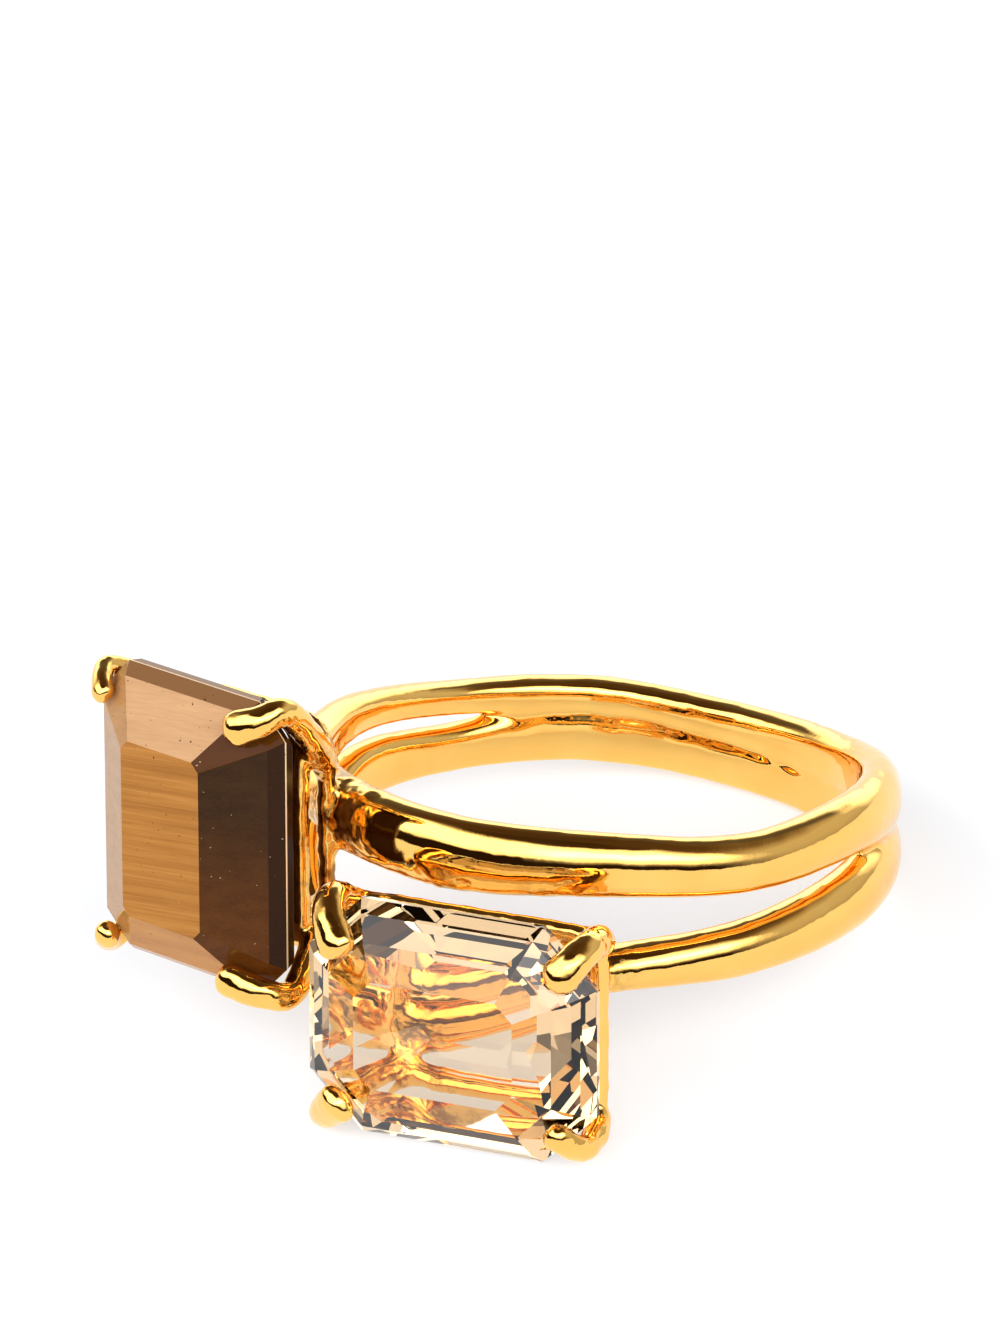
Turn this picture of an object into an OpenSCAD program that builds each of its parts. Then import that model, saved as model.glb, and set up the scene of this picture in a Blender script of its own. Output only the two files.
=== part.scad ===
// Double-band ring with two claw-set stones.
// The ring is drawn with its finger hole along Z and the stones facing -Y.
// It is then laid down as it rests on a table: on the citrine's lower left claw, the citrine's
// lower right corner and the back of the lower band.

/* [Finger hole] */
// Diameter of the finger hole
finger_d = 17.2; // [16.8:0.1:17.6]

/* [Bands] */
// Thickness of both bands, from the finger hole to the outside
band_t = 1.5; // [1.4:0.05:1.7]

/* [Tiger eye stone] */
// Width of the stone across its girdle
tiger_w = 8; // [7.8:0.1:8.2]
// Height of the stone across its girdle
tiger_h = 10; // [9.8:0.1:10.2]
// Turn of the stone round the finger hole, away from -Y
tiger_turn = -12.3; // [-13:0.1:-11.5]
// Sideways shift of the stone along its own width
tiger_shift = -5.65; // [-5.9:0.05:-5.4]
// Height of the stone's centre above the centre of the citrine
tiger_rise = 4.45; // [4.2:0.05:4.7]

/* [Citrine stone] */
// Width of the stone across its girdle
citrine_w = 10; // [9.8:0.1:10.2]
// Height of the stone across its girdle
citrine_h = 8; // [7.8:0.1:8.2]
// Turn of the stone round the finger hole, away from -Y
citrine_turn = 6; // [5.5:0.1:6.5]
// Sideways shift of the stone along its own width
citrine_shift = 0.7; // [0.5:0.05:0.9]

/* [Settings] */
// Distance from the ring's axis to the widest line of both stones, their girdle
girdle_r = 12.9; // [12.8:0.05:13.1]
// Depth of the gallery rail below the girdle
gallery_drop = 1.7; // [1.6:0.05:1.8]
// Wire diameter of the gallery rail
gallery_wire = 0.64; // [0.6:0.02:0.7]
// Depth of the base rail below the girdle
base_drop = 3.2; // [3.15:0.05:3.3]
// Wire diameter of the base rail
base_wire = 0.66; // [0.62:0.02:0.7]

/* [Rest] */
// How far the ring tips back as it lies, turning about X
rest_tip = 11.81; // [11.7:0.01:11.9]
// How far the ring leans to its right as it lies, turning about Y
rest_lean = -0.36; // [-0.5:0.01:-0.2]
// Height of the ring's own centre point above the table
rest_height = 1.36; // [1.3:0.01:1.4]
// How far the ring is moved along X, so that it is centred over the origin
centre_x = 1.19; // [1:0.01:1.4]
// How far the ring is moved along Y, so that it is centred over the origin
centre_y = 2.37; // [2.2:0.01:2.5]

/* [Hidden] */

hole_r = finger_d / 2;
// Middle of the band's thickness, where its section is tallest
band_mid_r = hole_r + band_t / 2;
// The sections reach this far into the finger hole, which then cuts them flat inside
hole_bite = 0.1;
section_sides = 12;
band_step = 5;

// Centre height and own height of both bands, in 30 degree steps round the ring.
// Columns: angle from -Y towards +X, upper centre, upper height, lower centre, lower height
BANDS = [
    [0, 4.45, 2.50, -0.65, 1.70],
    [30, 4.50, 2.15, 0.85, 1.55],
    [60, 4.05, 1.95, 1.15, 1.85],
    [90, 4.00, 2.05, 1.45, 2.15],
    [120, 3.35, 2.45, 1.50, 2.20],
    [150, 2.70, 2.15, 1.55, 2.20],
    [180, 2.70, 1.75, 1.75, 2.30],
    [210, 3.35, 1.35, 2.10, 2.15],
    [240, 3.75, 1.15, 2.00, 1.65],
    [270, 4.40, 1.30, 2.20, 1.95],
    [300, 4.40, 1.70, 1.20, 1.60],
    [330, 4.50, 2.40, -0.75, 1.60]
];
UPPER = 1;
LOWER = 3;
rows = len(BANDS);
row_step = 360 / rows;

// Step cuts, from the table down to the keel.
// Columns: width left off, height left off, level above the girdle, corner cut
TIGER_CUT = [
    [4.55, 3.95, 1.75, 0.30],
    [0.70, 0.70, 0.55, 1.00],
    [0.00, 0.00, 0.10, 1.10],
    [0.00, 0.00, -0.25, 1.30],
    [1.40, 1.40, -0.90, 0.90],
    [3.80, 3.80, -1.90, 0.60],
    [7.40, 7.40, -2.70, 0.15]
];
CITRINE_CUT = [
    [4.50, 4.35, 1.65, 0.60],
    [2.30, 2.20, 1.10, 1.20],
    [0.75, 0.70, 0.55, 1.65],
    [0.00, 0.00, 0.10, 1.85],
    [0.00, 0.00, -0.10, 1.85],
    [1.80, 1.80, -1.25, 1.45],
    [4.40, 4.40, -2.25, 0.90],
    [6.80, 6.20, -2.70, 0.40]
];

// Insets of each rail's centre line from the girdle, along the stone's width and its height
TIGER_GALLERY = [1.08, 1.15];
TIGER_BASE = [1.32, 1.80];
CITRINE_GALLERY = [0.70, 0.80];
CITRINE_BASE = [2.60, 1.90];
// Radius of a rail's corners
rail_corner = 0.9;
wire_sides = 8;

// One row for each claw. Insets are pairs, along the stone's width and then along its height,
// from the corner that the girdle would have uncut. Levels are above the girdle.
// Columns: side (1 right), end (1 top), foot insets on the base rail, waist insets beside the
// gallery rail, girdle insets, bend level, tip insets and level,
// sizes (radius of the wire, half width of the tip, half thickness of the tip)
TIGER_CLAWS = [
    [1, 1, [1.32, 3.20], [0.45, 1.70], [0.12, 0.18], 0.84, [1.10, 0.62, 1.16], [0.48, 0.62, 0.46]],
    [1, -1, [1.50, 2.00], [0.62, 1.22], [-0.03, 0.25], 0.80, [1.45, 0.73, 1.32], [0.46, 0.62, 0.46]],
    [-1, 1, [1.50, 2.00], [0.75, 1.25], [0.08, 0.48], 0.54, [0.80, 0.93, 1.04], [0.34, 0.45, 0.36]],
    [-1, -1, [1.50, 2.00], [0.75, 1.25], [0.15, 0.15], 0.50, [0.66, 0.60, 0.86], [0.40, 0.48, 0.42]]
];
CITRINE_CLAWS = [
    [1, 1, [2.80, 2.10], [0.75, 0.90], [0.36, 0.46], 0.76, [0.85, 1.15, 1.10], [0.52, 0.66, 0.50]],
    [1, -1, [2.80, 2.10], [0.75, 1.10], [0.38, 0.74], 0.66, [0.95, 1.42, 1.12], [0.42, 0.50, 0.42]],
    [-1, 1, [2.80, 2.10], [1.00, 1.00], [0.82, 0.18], 0.84, [1.55, 1.20, 1.35], [0.50, 0.68, 0.48]],
    [-1, -1, [2.80, 2.10], [0.90, 1.00], [0.45, 0.34], 0.65, [1.60, 1.42, 1.45], [0.45, 0.72, 0.42]]
];
claw_sides = 8;
claw_smooth = 2;

// Catmull-Rom curve value between b and c, for numbers or points
function curve(a, b, c, d, f) =
    0.5 * (2 * b + (c - a) * f + (2 * a - 5 * b + 4 * c - d) * f * f + (3 * b - 3 * c + d - a) * f * f * f);

// Value of one column of BANDS at any angle
function band_value(angle, column) =
    let(place = angle / row_step, low = floor(place), f = place - low)
    curve(
        BANDS[(low + rows - 1) % rows][column],
        BANDS[low % rows][column],
        BANDS[(low + 1) % rows][column],
        BANDS[(low + 2) % rows][column],
        f);

// Closed loop of points, an upright oval across the band at one angle
function band_section(angle, column) =
    let(z = band_value(angle, column), half = band_value(angle, column + 1) / 2)
    [for (i = [0 : section_sides - 1])
        let(
            t = 360 * i / section_sides,
            reach = band_t / 2 + (cos(t) < 0 ? hole_bite : 0),
            r = band_mid_r + reach * cos(t))
        [r * sin(angle), -r * cos(angle), z + half * sin(t)]];

// Open or closed tube through equal rings of points
module skin(rings, closed = false) {
    sides = len(rings[0]);
    count = len(rings);
    last = closed ? count - 1 : count - 2;
    walls = [for (i = [0 : last], j = [0 : sides - 1])
        let(
            a = i * sides + j,
            b = i * sides + (j + 1) % sides,
            c = ((i + 1) % count) * sides + (j + 1) % sides,
            d = ((i + 1) % count) * sides + j)
        each [[a, b, c], [a, c, d]]];
    start_cap = [for (j = [sides - 1 : -1 : 0]) j];
    end_cap = [for (j = [0 : sides - 1]) (count - 1) * sides + j];
    caps = closed ? [] : [start_cap, end_cap];
    polyhedron(points = [for (ring = rings) each ring], faces = concat(walls, caps));
}

// Oval ring of points square to a path
function cross_ring(centre, along, flat_axis, half_width, half_thick, sides) =
    let(
        t = along / norm(along),
        up = cross(t, flat_axis) / norm(cross(t, flat_axis)),
        side = cross(up, t))
    [for (i = [0 : sides - 1])
        let(a = 360 * i / sides)
        centre + half_width * cos(a) * side - half_thick * sin(a) * up];

// One of the two bands
module band(column) {
    skin([for (angle = [0 : band_step : 360 - band_step]) band_section(angle, column)], closed = true);
}

// Rounded rectangle of wire lying flat, as its centre line points and their directions
function rail_route(half_w, half_h) =
    [for (q = [0 : 3], a = [0 : 30 : 90])
        let(
            angle = 90 * q + a,
            cx = (q == 0 || q == 3 ? 1 : -1) * (half_w - rail_corner),
            cy = (q < 2 ? 1 : -1) * (half_h - rail_corner))
        [[cx + rail_corner * cos(angle), cy + rail_corner * sin(angle), 0], [-sin(angle), cos(angle), 0]]];

module rail(w, h, inset, wire) {
    route = rail_route(w / 2 - inset[0], h / 2 - inset[1]);
    skin([for (p = route) cross_ring(p[0], p[1], [0, 0, 1], wire / 2, wire / 2, wire_sides)], closed = true);
}

// Points of a claw from foot to tip, in the stone's own frame
function claw_points(claw, w, h) =
    let(
        at = function(inset, level) [claw[0] * (w / 2 - inset[0]), claw[1] * (h / 2 - inset[1]), level],
        girdle = claw[4],
        tip = claw[6])
    [
        at(claw[2], -base_drop),
        at(claw[3], -gallery_drop),
        at(girdle, -0.1),
        at(girdle + ([tip[0], tip[1]] - girdle) * 0.3, claw[5]),
        at(tip, tip[2])
    ];

function smooth(points, steps) =
    let(n = len(points))
    concat(
        [for (i = [0 : n - 2], s = [0 : steps - 1])
            curve(points[max(i - 1, 0)], points[i], points[i + 1], points[min(i + 2, n - 1)], s / steps)],
        [points[n - 1]]);

module claw(claw, w, h) {
    path = smooth(claw_points(claw, w, h), claw_smooth);
    n = len(path);
    reach = [claw[6][0] - claw[4][0], claw[6][1] - claw[4][1]];
    // Level line square to the claw's reach, along which its flattened tip is wide
    flat_axis = [claw[0] * reach[1], -claw[1] * reach[0], 0];
    wire = claw[7][0];
    wide = claw[7][1];
    thick = claw[7][2];
    body = [for (i = [0 : n - 1])
        let(
            along = path[min(i + 1, n - 1)] - path[max(i - 1, 0)],
            share = max(0, (i / (n - 1) - 0.5) * 2))
        cross_ring(path[i], along, flat_axis,
            wire + (wide - wire) * share, wire + (thick - wire) * share, claw_sides)];
    end_dir = (path[n - 1] - path[n - 2]) / norm(path[n - 1] - path[n - 2]);
    dome = [for (a = [35, 65, 85])
        cross_ring(path[n - 1] + end_dir * thick * sin(a), end_dir, flat_axis,
            wide * cos(a), thick * cos(a), claw_sides)];
    skin(concat(body, dome));
}

// Claw basket of one stone
module basket(w, h, gallery, base, claws) {
    translate([0, 0, -gallery_drop])
        rail(w, h, gallery, gallery_wire);
    translate([0, 0, -base_drop])
        rail(w, h, base, base_wire);
    for (c = claws)
        claw(c, w, h);
}

// Stone with straight facets in steps, a table on top and a keel below
module step_cut(w, h, steps) {
    rings = [for (s = steps)
        let(x = (w - s[0]) / 2, y = (h - s[1]) / 2, c = s[3])
        [
            [x, c - y, s[2]], [x, y - c, s[2]], [x - c, y, s[2]], [c - x, y, s[2]],
            [-x, y - c, s[2]], [-x, c - y, s[2]], [c - x, -y, s[2]], [x - c, -y, s[2]]
        ]];
    count = len(rings);
    walls = [for (i = [0 : count - 2], j = [0 : 7])
        [i * 8 + j, i * 8 + (j + 1) % 8, (i + 1) * 8 + (j + 1) % 8, (i + 1) * 8 + j]];
    table = [for (j = [7 : -1 : 0]) j];
    keel = [for (j = [0 : 7]) (count - 1) * 8 + j];
    polyhedron(points = [for (r = rings) each r], faces = concat([table, keel], walls));
}

// Places a stone's own frame on the ring: X along its width, Y up, Z outwards
module set_at(turn, shift, rise) {
    rotate([0, 0, turn])
        translate([shift, -girdle_r, rise])
            rotate([90, 0, 0])
                children();
}

// Lays the ring down as it rests
module laid() {
    translate([centre_x, centre_y, rest_height])
        rotate([-rest_tip, rest_lean, 0])
            children();
}

module gold_ring() {
    color("goldenrod")
        laid()
            difference() {
                union() {
                    band(UPPER);
                    band(LOWER);
                    set_at(tiger_turn, tiger_shift, tiger_rise)
                        basket(tiger_w, tiger_h, TIGER_GALLERY, TIGER_BASE, TIGER_CLAWS);
                    set_at(citrine_turn, citrine_shift, 0)
                        basket(citrine_w, citrine_h, CITRINE_GALLERY, CITRINE_BASE, CITRINE_CLAWS);
                }
                cylinder(r = hole_r, h = 40, center = true, $fn = 96);
            }
}

module tiger_eye_stone() {
    color("saddlebrown")
        laid()
            set_at(tiger_turn, tiger_shift, tiger_rise)
                step_cut(tiger_w, tiger_h, TIGER_CUT);
}

module citrine_stone() {
    color("peachpuff")
        laid()
            set_at(citrine_turn, citrine_shift, 0)
                step_cut(citrine_w, citrine_h, CITRINE_CUT);
}

gold_ring();
tiger_eye_stone();
citrine_stone();
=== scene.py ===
# Double-band ring with two claw-set stones, lying on a white table.
# Lengths in this file are in millimetres until a piece is finished, then in metres.

import math

import bmesh
import bpy
from mathutils import Matrix, Vector, noise


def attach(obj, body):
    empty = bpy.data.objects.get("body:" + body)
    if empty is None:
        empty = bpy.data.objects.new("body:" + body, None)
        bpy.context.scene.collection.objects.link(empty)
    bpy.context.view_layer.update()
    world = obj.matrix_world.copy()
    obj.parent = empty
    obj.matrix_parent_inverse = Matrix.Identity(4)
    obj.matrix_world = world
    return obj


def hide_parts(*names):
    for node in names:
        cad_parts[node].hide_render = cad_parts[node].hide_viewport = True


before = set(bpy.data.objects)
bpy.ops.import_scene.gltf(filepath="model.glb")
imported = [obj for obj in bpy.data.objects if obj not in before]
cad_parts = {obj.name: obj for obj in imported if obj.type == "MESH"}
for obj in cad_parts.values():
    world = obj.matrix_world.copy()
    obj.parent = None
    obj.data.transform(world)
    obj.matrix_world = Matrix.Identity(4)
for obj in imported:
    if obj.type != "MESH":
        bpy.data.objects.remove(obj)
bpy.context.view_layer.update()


# How the ring lies
# The ring is drawn with its finger hole along Z and its stones facing -Y. It then tips back
# and rests on a claw, a stone's corner and the back of the lower band.

rest = (
    Matrix.Translation((1.19, 2.37, 1.36))
    @ Matrix.Rotation(math.radians(-0.36), 4, "Y")
    @ Matrix.Rotation(math.radians(-11.81), 4, "X")
)
to_metres = Matrix.Scale(0.001, 4)


# Camera
# A long lens looks down on the ring from the right of the stones. The ring lies in the lower
# half of the tall frame.

lens_turn = math.radians(30)
lens_lift = math.radians(20.2)
lens_distance = 289.7
lens_aim = (-3.136, 0, 7.78)

eye = (
    rest
    @ Matrix.Rotation(lens_turn, 4, "Z")
    @ Matrix.Translation(lens_aim)
    @ Matrix.Rotation(math.pi / 2 - lens_lift, 4, "X")
    @ Matrix.Translation((0, 0, lens_distance))
)
camera = bpy.data.objects.new("camera", bpy.data.cameras.new("camera"))
bpy.context.scene.collection.objects.link(camera)
camera.data.sensor_width = 36
camera.data.lens = 239.2
camera.data.clip_start = 0.01
camera.data.clip_end = 10
camera.location = eye.translation * 0.001
camera.rotation_euler = eye.to_euler()
bpy.context.scene.camera = camera


# Bands
# Two slim bands of cast and gilded metal, soldered along the back. Each one swells, narrows
# and wanders up and down as it goes round, with a flat inside for the finger.

finger_r = 8.6
band_t = 1.5
band_mid_r = finger_r + band_t / 2
# How far a section bulges outwards, and inwards before the finger hole flattens it
outer_bulge = 0.75
inner_bulge = 1.2
# The inside is slightly domed for comfort, and stands a hair clear of the hole for its ripples
inner_dome = 0.11
inner_play = 0.02

# Columns: angle from -Y towards +X, upper centre, upper height, lower centre, lower height
BAND_ROWS = [
    (0, 4.45, 2.50, -0.65, 1.70),
    (30, 4.50, 2.15, 0.85, 1.55),
    (60, 4.05, 1.95, 1.15, 1.85),
    (90, 4.00, 2.05, 1.45, 2.15),
    (120, 3.35, 2.45, 1.50, 2.20),
    (150, 2.70, 2.15, 1.55, 2.20),
    (180, 2.70, 1.75, 1.75, 2.30),
    (210, 3.35, 1.35, 2.10, 2.15),
    (240, 3.75, 1.15, 2.00, 1.65),
    (270, 4.40, 1.30, 2.20, 1.95),
    (300, 4.40, 1.70, 1.20, 1.60),
    (330, 4.50, 2.40, -0.75, 1.60),
]
ROW_STEP = 30
UPPER = 1
LOWER = 3


def curve(a, b, c, d, f):
    """Value of a smooth curve between b and c, for numbers or points."""
    return 0.5 * (2 * b + (c - a) * f + (2 * a - 5 * b + 4 * c - d) * f**2 + (3 * b - 3 * c + d - a) * f**3)


def band_value(angle, column):
    """A column's value at an angle, on a smooth curve through its rows."""
    place = angle / ROW_STEP
    low = math.floor(place)
    near = [BAND_ROWS[(low + k) % len(BAND_ROWS)][column] for k in (-1, 0, 1, 2)]
    return curve(*near, place - low)


def spin_band(column):
    """A closed band, spun from one oval section and then pulled to its own heights."""
    band = bmesh.new()
    bmesh.ops.create_circle(
        band, segments=48, radius=1,
        matrix=Matrix.Translation((0, -band_mid_r, 0)) @ Matrix.Rotation(math.pi / 2, 4, "Y"),
    )
    bmesh.ops.spin(
        band, geom=band.verts[:] + band.edges[:], cent=(0, 0, 0), axis=(0, 0, 1),
        angle=math.tau, steps=240, use_merge=True,
    )
    for v in band.verts:
        angle = math.degrees(math.atan2(v.co.x, -v.co.y)) % 360
        reach = math.hypot(v.co.x, v.co.y) - band_mid_r
        reach *= outer_bulge if reach > 0 else inner_bulge
        r = max(band_mid_r + reach, finger_r + inner_play + inner_dome * v.co.z**2)
        z = band_value(angle, column) + band_value(angle, column + 1) / 2 * v.co.z
        v.co = Vector((r * math.sin(math.radians(angle)), -r * math.cos(math.radians(angle)), z))
    bmesh.ops.recalc_face_normals(band, faces=band.faces)
    return band


metal = bmesh.new()
for column in (UPPER, LOWER):
    band = spin_band(column)
    part = bpy.data.meshes.new("band")
    band.to_mesh(part)
    metal.from_mesh(part)
    bpy.data.meshes.remove(part)
    band.free()


# Claw baskets
# Each stone sits in an open basket of two rounded wire frames, one above the other, with four
# claws soldered to their corners. The claws bend over the girdle and end in flattened tips.

# The girdles stand this far from the middle of the finger hole, and the frames behind them
girdle_r = 12.9
gallery_drop = 1.7
gallery_wire = 0.64
base_drop = 3.2
base_wire = 0.66
rail_corner = 0.9
claw_girdle_level = -0.1
# How far over the crown a claw has leant where it starts to bend, as a share of its tip's reach
claw_first_lean = 0.3
rounds_per_stretch = 6


def seat_stone(turn, shift, rise):
    """The stone's own frame on the ring: X along its width, Y up, Z outwards."""
    return (
        Matrix.Rotation(math.radians(turn), 4, "Z")
        @ Matrix.Translation((shift, -girdle_r, rise))
        @ Matrix.Rotation(math.pi / 2, 4, "X")
    )


tiger_eye_seat = seat_stone(-12.3, -5.65, 4.45)
citrine_seat = seat_stone(6, 0.7, 0)


def across(centre, along, flat, half_width, half_thick):
    """Frame of one round of a wire, square to its path."""
    t = Vector(along).normalized()
    up = t.cross(Vector(flat)).normalized()
    side = up.cross(t)
    m = Matrix.Identity(4)
    for row in range(3):
        m[row][0] = side[row] * half_width
        m[row][1] = up[row] * half_thick
        m[row][2] = t[row]
        m[row][3] = centre[row]
    return m


def draw_wire(bm, rounds, seat, closed=False):
    """Pulls a round wire through its rounds, which are frames from across()."""
    circle = bmesh.ops.create_circle(bm, segments=20, radius=1, matrix=seat @ rounds[0])["verts"]
    edges = list({e for v in circle for e in v.link_edges})
    first = edges
    for last, this in zip(rounds, rounds[1:]):
        new = bmesh.ops.extrude_edge_only(bm, edges=edges)["geom"]
        verts = [g for g in new if isinstance(g, bmesh.types.BMVert)]
        edges = [g for g in new if isinstance(g, bmesh.types.BMEdge) and all(v in verts for v in g.verts)]
        bmesh.ops.transform(bm, matrix=seat @ this @ (seat @ last).inverted(), verts=verts)
    if closed:
        bmesh.ops.bridge_loops(bm, edges=first + edges)
    else:
        bmesh.ops.holes_fill(bm, edges=first)
        bmesh.ops.holes_fill(bm, edges=edges)


def wire_frame(bm, seat, half_w, half_h, level, wire):
    """Closed rounded rectangle of wire."""
    rounds = []
    for quarter in range(4):
        cx = (1 if quarter in (0, 3) else -1) * (half_w - rail_corner)
        cy = (1 if quarter < 2 else -1) * (half_h - rail_corner)
        for step in range(0, 91, 15):
            a = math.radians(90 * quarter + step)
            centre = (cx + rail_corner * math.cos(a), cy + rail_corner * math.sin(a), level)
            rounds.append(across(centre, (-math.sin(a), math.cos(a), 0), (0, 0, 1), wire / 2, wire / 2))
    draw_wire(bm, rounds, seat, closed=True)


# Columns: side (1 right), end (1 top), foot insets, waist insets, girdle insets, bend level,
# tip insets and level, sizes (wire radius, tip half width, tip half thickness)
TIGER_EYE_CLAWS = [
    (1, 1, (1.32, 3.20), (0.45, 1.70), (0.12, 0.18), 0.84, (1.10, 0.62, 1.16), (0.48, 0.62, 0.46)),
    (1, -1, (1.50, 2.00), (0.62, 1.22), (-0.03, 0.25), 0.80, (1.45, 0.73, 1.32), (0.46, 0.62, 0.46)),
    (-1, 1, (1.50, 2.00), (0.75, 1.25), (0.08, 0.48), 0.54, (0.80, 0.93, 1.04), (0.34, 0.45, 0.36)),
    (-1, -1, (1.50, 2.00), (0.75, 1.25), (0.15, 0.15), 0.50, (0.66, 0.60, 0.86), (0.40, 0.48, 0.42)),
]
CITRINE_CLAWS = [
    (1, 1, (2.80, 2.10), (0.75, 0.90), (0.36, 0.46), 0.76, (0.85, 1.15, 1.10), (0.52, 0.66, 0.50)),
    (1, -1, (2.80, 2.10), (0.75, 1.10), (0.38, 0.74), 0.66, (0.95, 1.42, 1.12), (0.42, 0.50, 0.42)),
    (-1, 1, (2.80, 2.10), (1.00, 1.00), (0.82, 0.18), 0.84, (1.55, 1.20, 1.35), (0.50, 0.68, 0.48)),
    (-1, -1, (2.80, 2.10), (0.90, 1.00), (0.45, 0.34), 0.65, (1.60, 1.42, 1.45), (0.45, 0.72, 0.42)),
]

# Columns: seat, stone width and height, insets of the upper and the lower frame, claws
BASKETS = [
    (tiger_eye_seat, 8, 10, (1.08, 1.15), (1.32, 1.80), TIGER_EYE_CLAWS),
    (citrine_seat, 10, 8, (0.70, 0.80), (2.60, 1.90), CITRINE_CLAWS),
]


def bend_claw(bm, seat, w, h, row):
    """One claw, from its foot on the lower wire frame to its rounded tip over the crown."""
    side, end, foot, waist, girdle, bend, tip, sizes = row

    def at(inset, level):
        return Vector((side * (w / 2 - inset[0]), end * (h / 2 - inset[1]), level))

    leant = [g + (t - g) * claw_first_lean for g, t in zip(girdle, tip)]
    points = [
        at(foot, -base_drop), at(waist, -gallery_drop), at(girdle, claw_girdle_level),
        at(leant, bend), at(tip, tip[2]),
    ]
    path = []
    for i in range(4):
        near = [points[max(0, min(4, i + k))] for k in (-1, 0, 1, 2)]
        path += [curve(*near, s / rounds_per_stretch) for s in range(rounds_per_stretch)]
    path.append(points[4])
    top = len(path) - 1
    flat = (side * (tip[1] - girdle[1]), -end * (tip[0] - girdle[0]), 0)
    wire, wide, thick = sizes
    rounds = []
    for i, p in enumerate(path):
        along = path[min(i + 1, top)] - path[max(i - 1, 0)]
        share = max(0, (i / top - 0.5) * 2)
        rounds.append(across(p, along, flat, wire + (wide - wire) * share, wire + (thick - wire) * share))
    along = path[top] - path[top - 1]
    for a in (20, 40, 60, 75):
        centre = path[top] + along.normalized() * thick * math.sin(math.radians(a))
        shrink = math.cos(math.radians(a))
        rounds.append(across(centre, along, flat, wide * shrink, thick * shrink))
    draw_wire(bm, rounds, seat)


for seat, w, h, upper, lower, claws in BASKETS:
    wire_frame(metal, seat, w / 2 - upper[0], h / 2 - upper[1], -gallery_drop, gallery_wire)
    wire_frame(metal, seat, w / 2 - lower[0], h / 2 - lower[1], -base_drop, base_wire)
for seat, w, h, upper, lower, claws in BASKETS:
    for row in claws:
        bend_claw(metal, seat, w, h, row)
bmesh.ops.recalc_face_normals(metal, faces=metal.faces)


# Soldering
# The bands and both baskets are soldered into one, so the joints are filled and rounded. The
# bands are polished smoother than the wires, which stay a little lumpy.

wire_smoothing = 4
band_smoothing = 9
# The bands end at 9.9, so what lies beyond this is wire
wires_from_r = 10.2

gold_mesh = bpy.data.meshes.new("gold_ring")
metal.to_mesh(gold_mesh)
metal.free()
gold = bpy.data.objects.new("gilded_ring", gold_mesh)
bpy.context.scene.collection.objects.link(gold)
fuse = gold.modifiers.new("fuse", "REMESH")
fuse.mode = "VOXEL"
fuse.voxel_size = 0.115
bpy.context.view_layer.update()
fused = bpy.data.meshes.new_from_object(gold.evaluated_get(bpy.context.evaluated_depsgraph_get()))
gold.modifiers.clear()
gold.data = fused

shape = bmesh.new()
shape.from_mesh(fused)
bands_only = [v for v in shape.verts if math.hypot(v.co.x, v.co.y) < wires_from_r]
for verts, times in ((shape.verts, wire_smoothing), (bands_only, band_smoothing)):
    for _ in range(times):
        bmesh.ops.smooth_vert(
            shape, verts=verts, factor=0.5, use_axis_x=True, use_axis_y=True, use_axis_z=True,
        )
shape.normal_update()

# Where the lower wire frames are soldered to the bands
joints = [seat @ Vector((x, y, -base_drop)) for seat, x, y in (
    (tiger_eye_seat, 2.7, 2.2), (tiger_eye_seat, 2.7, -2.2), (tiger_eye_seat, 2.7, 0.0),
    (citrine_seat, 2.4, 1.9), (citrine_seat, -2.4, 1.9), (citrine_seat, -2.4, -1.9),
)]
solder_reach = 2.8
solder_fade = 1.8
solder_lumps = 0.065
# The wires get this share of the lumps, which comes in quickly beyond the bands
wire_lumps = 0.45
wire_lumps_rise = 0.5
ripple = 0.02
# The seam between the bands shows as a shallow groove inside the ring, where they overlap
seam_depth = 0.07
seam_width = 0.22
seam_overlap = 0.4


def unevenness(p, scale, start, fine_scale, fine_start):
    """How uneven hand-worked metal is at a point, coarse and fine together."""
    return noise.noise(p * scale + Vector(start)) + 0.5 * noise.noise(p * fine_scale + Vector(fine_start))


solder = []
for v in shape.verts:
    p = v.co.copy()
    near = min((p - j).length for j in joints)
    solder.append(max(0.0, min(1.0, (solder_reach - near) / solder_fade)))
    lumpy = max(solder[-1], min(wire_lumps, (math.hypot(p.x, p.y) - wires_from_r) * wire_lumps_rise))
    wave = unevenness(p, 0.55, (0, 0, 0), 1.3, (7, 3, 1))
    lump = unevenness(p, 1.9, (2, 9, 4), 4.5, (5, 1, 8))
    v.co = p + v.normal * (ripple * wave + solder_lumps * lump * max(0.0, lumpy))
    r = math.hypot(v.co.x, v.co.y)
    pushed = max(r, finger_r)
    if r < band_mid_r:
        angle = math.degrees(math.atan2(p.x, -p.y)) % 360
        top_of_lower = band_value(angle, LOWER) + band_value(angle, LOWER + 1) / 2
        foot_of_upper = band_value(angle, UPPER) - band_value(angle, UPPER + 1) / 2
        joined = max(0.0, min(1.0, (top_of_lower - foot_of_upper) / seam_overlap))
        off = (p.z - (top_of_lower + foot_of_upper) / 2) / seam_width
        pushed += joined * seam_depth * (1 + noise.noise(p * 0.9)) * math.exp(-off * off)
    v.co.x *= pushed / r
    v.co.y *= pushed / r
shape.transform(to_metres @ rest)
for f in shape.faces:
    f.smooth = True
shape.to_mesh(fused)
shape.free()
solder_map = fused.attributes.new("solder", "FLOAT", "POINT")
solder_map.data.foreach_set("value", solder)


# Gilding
# All the metal is plated with yellow gold. It is bright on the bands, with a few duller
# patches, and grainy round the solder, with darker brown spots laid there.


def start_material(name):
    """A new material, its node tree and its main shader."""
    made = bpy.data.materials.new(name)
    made.use_nodes = True
    return made, made.node_tree, made.node_tree.nodes["Principled BSDF"]


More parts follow.
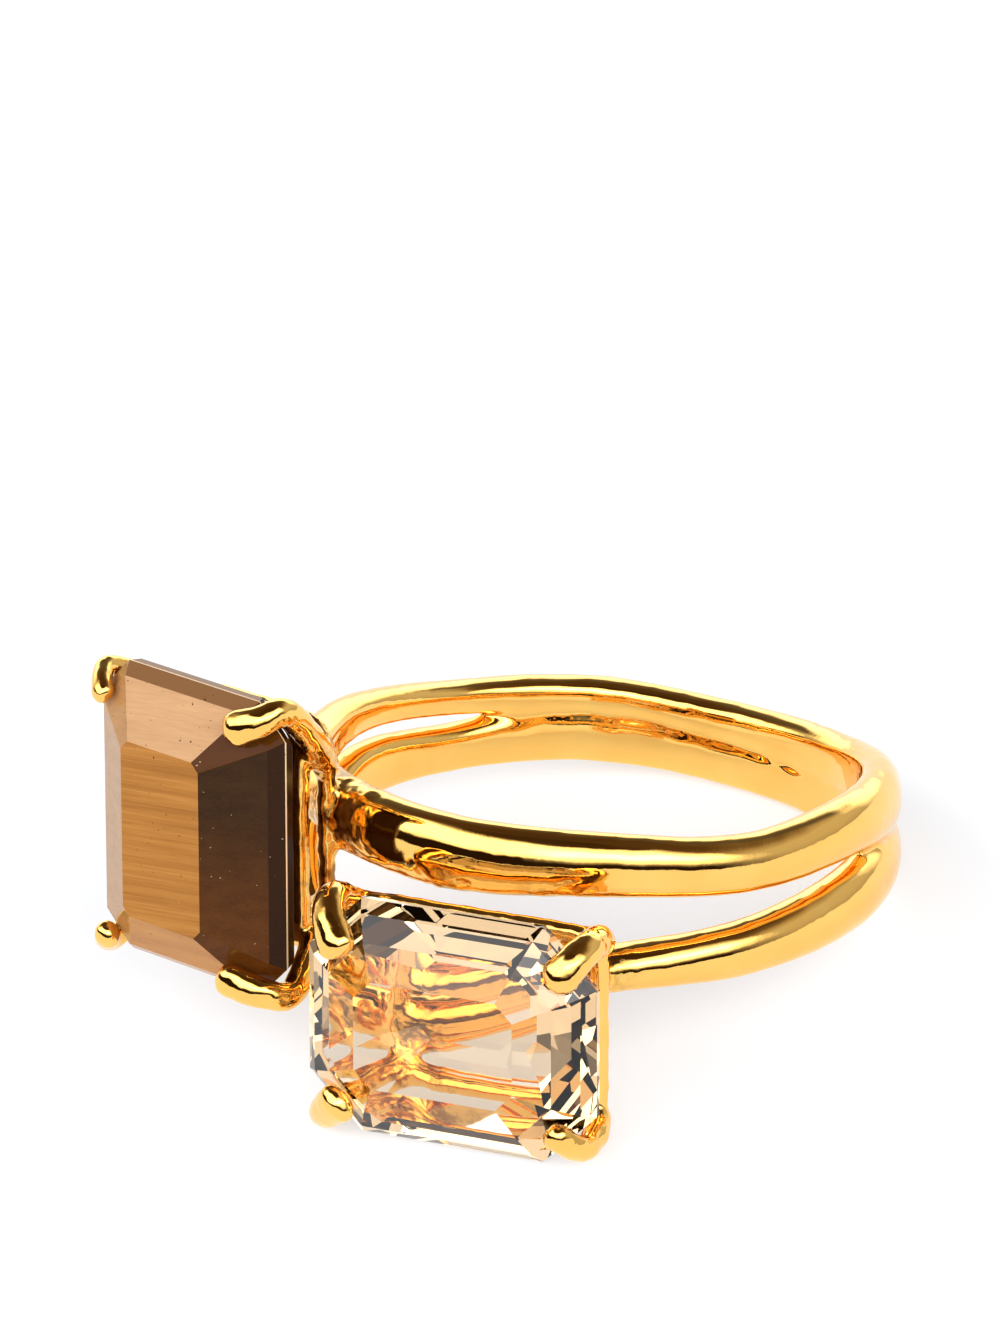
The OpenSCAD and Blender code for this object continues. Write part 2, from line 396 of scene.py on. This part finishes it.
def add_node(tree, kind, inputs=(), **settings):
    """A shader node with its settings, its input values and its incoming links."""
    made = tree.nodes.new("ShaderNode" + kind)
    for name, value in settings.items():
        setattr(made, name, value)
    for name, value in dict(inputs).items():
        if isinstance(value, bpy.types.NodeSocket):
            tree.links.new(value, made.inputs[name])
        else:
            made.inputs[name].default_value = value
    return made


def add_ramp(tree, factor, stops):
    """A colour ramp from stops of position and colour, or of position and grey."""
    made = add_node(tree, "ValToRGB", {"Fac": factor})
    for i, (position, colour) in enumerate(stops):
        colour = (colour,) * 3 if isinstance(colour, (int, float)) else colour
        stop = made.color_ramp.elements[i] if i < 2 else made.color_ramp.elements.new(position)
        stop.position = position
        stop.color = (*colour, 1)
    return made.outputs["Color"]


def add_mottle(tree, place, scale, detail, roughness=0.5):
    """Uneven spots over a place, from 0 to 1."""
    inputs = {"Vector": place, "Scale": scale, "Detail": detail, "Roughness": roughness}
    return add_node(tree, "TexNoise", inputs).outputs["Fac"]


def add_range(tree, value, start, full, low=0.0, high=1.0):
    """Brings a value from start and full to low and high."""
    inputs = {"Value": value, "From Min": start, "From Max": full, "To Min": low, "To Max": high}
    return add_node(tree, "MapRange", inputs).outputs["Result"]


def add_sum(tree, operation, a, b):
    """The outcome of a sum on two values."""
    return add_node(tree, "Math", {0: a, 1: b}, operation=operation).outputs[0]


def lay_over(tree, under, top, share):
    """Lays one tone over another."""
    return add_node(tree, "Mix", {0: share, 6: under, 7: top}, data_type="RGBA").outputs[2]


joint_brown = (0.42, 0.19, 0.04, 1)

gilding, tree, shader = start_material("gilding")
place = add_node(tree, "TexCoord").outputs["Object"]
ring_mm = add_node(tree, "Mapping", {"Vector": place, "Scale": (1000, 1000, 1000)}).outputs["Vector"]
solder_here = add_node(tree, "Attribute", attribute_name="solder").outputs["Fac"]
colour = add_ramp(tree, add_mottle(tree, ring_mm, 0.5, 3.0), [
    (0.3, (1.0, 0.565, 0.135)), (0.7, (1.0, 0.615, 0.165)),
])
grain = add_mottle(tree, ring_mm, 9.0, 4.0, 0.6)
dull_patches = add_range(tree, add_mottle(tree, ring_mm, 0.9, 2.0), 0.48, 0.68)
grainy = add_sum(tree, "MAXIMUM", add_sum(tree, "MULTIPLY", dull_patches, 0.35), solder_here)
rough = add_range(tree, grainy, 0.0, 1.0, 0.02, 0.14)
depth = add_range(tree, grainy, 0.0, 1.0, 0.03, 0.35)
skin = add_node(tree, "Bump", {"Height": grain, "Strength": depth, "Distance": 0.00002}).outputs["Normal"]
# Darker brown spots laid over the metal round the solder
joint_spot_noise = add_range(tree, add_mottle(tree, ring_mm, 1.1, 5.0, 0.7), 0.5, 0.6)
joint_brown_spots = add_sum(tree, "MULTIPLY", joint_spot_noise, solder_here)
colour = lay_over(tree, colour, joint_brown, joint_brown_spots)
tree.links.new(colour, shader.inputs["Base Color"])
tree.links.new(rough, shader.inputs["Roughness"])
tree.links.new(skin, shader.inputs["Normal"])
shader.inputs["Metallic"].default_value = 1
fused.materials.clear()
fused.materials.append(gilding)

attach(gold, "root")
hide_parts("gold_ring")


# Tiger's eye
# A tall step-cut stone of fibrous quartz. Silky brown fibres run across it, and its facets are
# painted with sheen and shade by the way they lean, from pinkish tan to near black.

fibre_tilt = math.radians(-8)
fibre_scale = (0.3, 14, 14)
# Painted shade for the upper right corner facet and the outer steps
painted_corner_shade = (0.075, 0.022, 0.002, 1)
painted_right_step_shade = (0.026, 0.009, 0.002, 1)
painted_top_step_shade = (0.23, 0.11, 0.045, 1)
# Painted light and shade for the girdle, and a painted highlight for the line along its front
painted_lit_girdle = (0.24, 0.12, 0.05, 1)
painted_shaded_girdle = (0.03, 0.010, 0.003, 1)
painted_girdle_highlight = (0.85, 0.60, 0.36, 1)
dark_speck = (0.05, 0.02, 0.01, 1)
pale_speck = (0.4, 0.28, 0.17, 1)

tiger_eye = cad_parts["tiger_eye_stone"]
silk, tree, shader = start_material("tiger_eye_silk")
place = add_node(tree, "TexCoord").outputs["Object"]
face = add_node(tree, "NewGeometry").outputs["Normal"]
own = (rest @ tiger_eye_seat).inverted()
in_stone = add_node(tree, "Mapping", {
    "Vector": place, "Location": own.translation, "Rotation": own.to_euler(), "Scale": (1000, 1000, 1000),
}).outputs["Vector"]
facet = add_node(tree, "Mapping", {
    "Vector": face, "Rotation": own.to_euler(),
}, vector_type="VECTOR").outputs["Vector"]
in_stone_xyz = add_node(tree, "SeparateXYZ", {"Vector": in_stone})
facet_xyz = add_node(tree, "SeparateXYZ", {"Vector": facet})
fibre_way = add_node(tree, "Mapping", {"Vector": in_stone, "Rotation": (0, 0, fibre_tilt)}).outputs["Vector"]
fibre_way = add_node(tree, "Mapping", {"Vector": fibre_way, "Scale": fibre_scale}).outputs["Vector"]
fibres = add_mottle(tree, fibre_way, 1.0, 5.0, 0.65)
streaks = add_mottle(tree, fibre_way, 0.16, 2.0)
weave = add_node(tree, "Mix", {0: 0.45, 2: fibres, 3: streaks}, data_type="FLOAT").outputs[0]
gold_brown = add_ramp(tree, weave, [
    (0.3, (0.25, 0.090, 0.014)), (0.5, (0.375, 0.152, 0.028)), (0.7, (0.52, 0.235, 0.055)),
])
# Painted sheen for the facets leaning up, down and left, and painted shade for those leaning right
painted_top_sheen = add_ramp(tree, weave, [(0.3, (0.49, 0.265, 0.125)), (0.7, (0.62, 0.36, 0.18))])
painted_bottom_sheen = add_ramp(tree, weave, [(0.3, (0.38, 0.135, 0.008)), (0.7, (0.54, 0.22, 0.02))])
painted_right_shade = add_ramp(tree, weave, [(0.3, (0.024, 0.010, 0.003)), (0.7, (0.046, 0.019, 0.005))])
painted_right_shade_low = add_ramp(tree, weave, [(0.3, (0.080, 0.022, 0.003)), (0.7, (0.140, 0.044, 0.006))])
painted_left_sheen = add_ramp(tree, weave, [(0.3, (0.35, 0.18, 0.06)), (0.7, (0.46, 0.25, 0.10))])


def lean(axis, start, full):
    """How far a facet leans along an axis, from 0 at start to 1 at full."""
    return add_range(tree, facet_xyz.outputs[axis], start, full)


# The facets get painted light by the way they lean: painted sheen on the top, bottom and left,
# painted shade on the right, lighter towards its foot, then on the upper right corner and the
# outer steps, painted light and shade on the girdle, and a painted highlight line along its front
lower_end = add_range(tree, in_stone_xyz.outputs["Y"], 1.5, -5.0)
upper_right = add_sum(tree, "MULTIPLY", lean("X", 0.25, 0.32), lean("Y", 0.2, 0.3))
girdle = lean("Z", 0.4, 0.3)
painted_highlight_line = add_sum(tree, "MULTIPLY", add_range(tree, in_stone_xyz.outputs["Z"], 0.02, 0.05), girdle)
tone = lay_over(tree, gold_brown, painted_top_sheen, lean("Y", 0.2, 0.45))
tone = lay_over(tree, tone, painted_bottom_sheen, lean("Y", -0.2, -0.45))
tone = lay_over(tree, tone, painted_left_sheen, lean("X", -0.2, -0.45))
tone = lay_over(tree, tone, lay_over(tree, painted_right_shade, painted_right_shade_low, lower_end), lean("X", 0.15, 0.35))
tone = lay_over(tree, tone, painted_corner_shade, upper_right)
tone = lay_over(tree, tone, painted_right_step_shade, lean("X", 0.6, 0.72))
tone = lay_over(tree, tone, painted_top_step_shade, lean("Y", 0.6, 0.72))
tone = lay_over(tree, tone, lay_over(tree, painted_lit_girdle, painted_shaded_girdle, lean("X", 0.3, 0.5)), girdle)
tone = lay_over(tree, tone, painted_girdle_highlight, painted_highlight_line)
speck_place = add_mottle(tree, in_stone, 7.0, 1.0)
for start, full, speck_tone in ((0.74, 0.78, dark_speck), (0.215, 0.19, pale_speck)):
    tone = lay_over(tree, tone, speck_tone, add_range(tree, speck_place, start, full))
tree.links.new(tone, shader.inputs["Base Color"])
shader.inputs["Roughness"].default_value = 0.08
shader.inputs["IOR"].default_value = 1.54
shader.inputs["Specular IOR Level"].default_value = 0.09
edge = add_node(tree, "Bevel", {"Radius": 0.00006}, samples=4).outputs["Normal"]
tree.links.new(edge, shader.inputs["Normal"])
tiger_eye.data.materials.clear()
tiger_eye.data.materials.append(silk)


# Citrine
# A wide step-cut stone of pale peach quartz, clear enough to show its basket through the
# crown and the table.

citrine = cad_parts["citrine_stone"]
quartz, tree, shader = start_material("peach_quartz")
shader.inputs["Base Color"].default_value = (1.0, 0.97, 0.93, 1)
shader.inputs["Roughness"].default_value = 0
shader.inputs["IOR"].default_value = 1.544
shader.inputs["Transmission Weight"].default_value = 1
tint = add_node(tree, "VolumeAbsorption", {"Color": (0.96, 0.78, 0.48, 1), "Density": 170.0})
tree.links.new(tint.outputs["Volume"], tree.nodes["Material Output"].inputs["Volume"])
citrine.data.materials.clear()
citrine.data.materials.append(quartz)


# Table
# The ring lies on a plain white table, which glows softly, so it stays an even white without
# hard shadows.

table = bmesh.new()
bmesh.ops.create_grid(table, x_segments=1, y_segments=1, size=0.6)
table_mesh = bpy.data.meshes.new("table")
table.to_mesh(table_mesh)
table.free()
floor = bpy.data.objects.new("table", table_mesh)
bpy.context.scene.collection.objects.link(floor)
white, tree, shader = start_material("white_table")
shader.inputs["Base Color"].default_value = (0.50, 0.505, 0.52, 1)
shader.inputs["Roughness"].default_value = 0.9
shader.inputs["Specular IOR Level"].default_value = 0
shader.inputs["Emission Color"].default_value = (0.915, 0.95, 1.0, 1)
shader.inputs["Emission Strength"].default_value = 0.575
table_mesh.materials.append(white)


# Studio light
# A light tent with three softboxes: a large one in front and to the right, one in front and to
# the left, and one behind. It is dark straight above, which draws the dark strips on the bands.

world = bpy.data.worlds.new("light_tent")
bpy.context.scene.world = world
world.use_nodes = True
tree = world.node_tree
way = add_node(tree, "TexCoord").outputs["Generated"]
height = add_node(tree, "SeparateXYZ", {"Vector": way}).outputs["Z"]
level = add_node(tree, "VectorMath", {0: way, 1: (1, 1, 0)}, operation="MULTIPLY").outputs["Vector"]
level = add_node(tree, "VectorMath", {0: level}, operation="NORMALIZE").outputs["Vector"]


def hang_softbox(light, turn, start, full, stops, power):
    """Hangs a softbox in the tent at a turn from -Y towards +X. Its edges fade from start to full."""
    ahead = (math.sin(math.radians(turn)), -math.cos(math.radians(turn)), 0)
    facing = add_node(tree, "VectorMath", {0: level, 1: ahead}, operation="DOT_PRODUCT").outputs["Value"]
    box = add_ramp(tree, height, stops)
    box = add_node(tree, "VectorMath", {0: box, 1: (power,) * 3}, operation="MULTIPLY").outputs["Vector"]
    return lay_over(tree, light, box, add_range(tree, facing, start, full))


below_box = (0.007, 0.004, 0.002)

# Stops: sine of the height above the horizon, brightness
light = add_ramp(tree, height, [
    (0.0, 0.5), (0.2, 0.62), (0.46, 0.64), (0.60, (0.45, 0.40, 0.33)), (0.70, (0.2, 0.15, 0.1)),
    (0.80, (0.10, 0.062, 0.032)), (1.0, (0.08, 0.048, 0.024)),
])
light = hang_softbox(light, 35, 0.35, 0.75, [
    (0.0, below_box), (0.14, below_box), (0.22, 0.1), (0.3, 0.5), (0.4, 0.75), (0.5, 1.6),
    (0.62, 1.6), (0.72, 0.8), (0.80, 0.6), (0.84, 0.4),
    (0.87, (0.018, 0.010, 0.005)), (1.0, (0.014, 0.008, 0.004)),
], 3.4)
light = hang_softbox(light, -32, 0.55, 0.85, [
    (0.0, below_box), (0.27, below_box), (0.34, 0.7), (0.42, 1.0), (0.80, 1.0), (0.86, 0.25),
    (0.90, (0.02, 0.012, 0.006)), (1.0, (0.016, 0.010, 0.006)),
], 3.0)
light = hang_softbox(light, 213, 0.55, 0.8, [
    (0.0, 0.5), (0.08, 0.8), (0.15, 1.0), (0.36, 1.0), (0.44, 0.3), (0.50, 0.06),
    (0.8, (0.04, 0.024, 0.014)), (1.0, (0.03, 0.018, 0.010)),
], 2.2)
tree.links.new(light, tree.nodes["Background"].inputs["Color"])
bpy.context.scene.view_settings.view_transform = "Standard"
